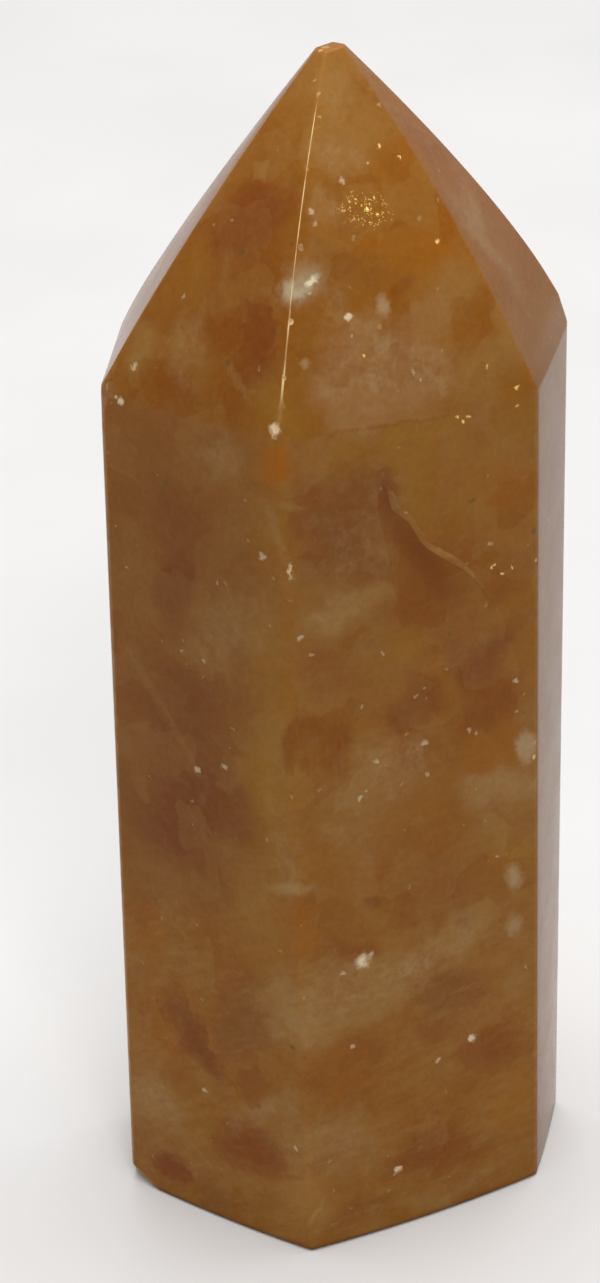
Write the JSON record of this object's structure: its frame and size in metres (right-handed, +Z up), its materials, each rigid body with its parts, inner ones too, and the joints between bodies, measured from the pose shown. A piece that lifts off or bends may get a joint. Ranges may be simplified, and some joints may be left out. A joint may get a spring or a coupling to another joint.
{
  "type": "polished calcite tower",
  "caption": "Polished calcite tower: a hand-ground, slightly tapering hexagonal prism under a bowed, faceted, blunt point, standing on a flat base.",
  "frame": {"origin": "on the flat base, on the axis of the prism", "axes": "+Z up towards the point, -Y towards the front ridge, +X to the right seen from the front"},
  "size_m": [0.0335, 0.0268, 0.09],
  "materials": {
    "polished_calcite": "polished, translucent honey-brown with pale veils and rust-red patches"
  },
  "bodies": {
    "root": {"calcite_tower": "polished_calcite"}
  },
  "joints": []
}
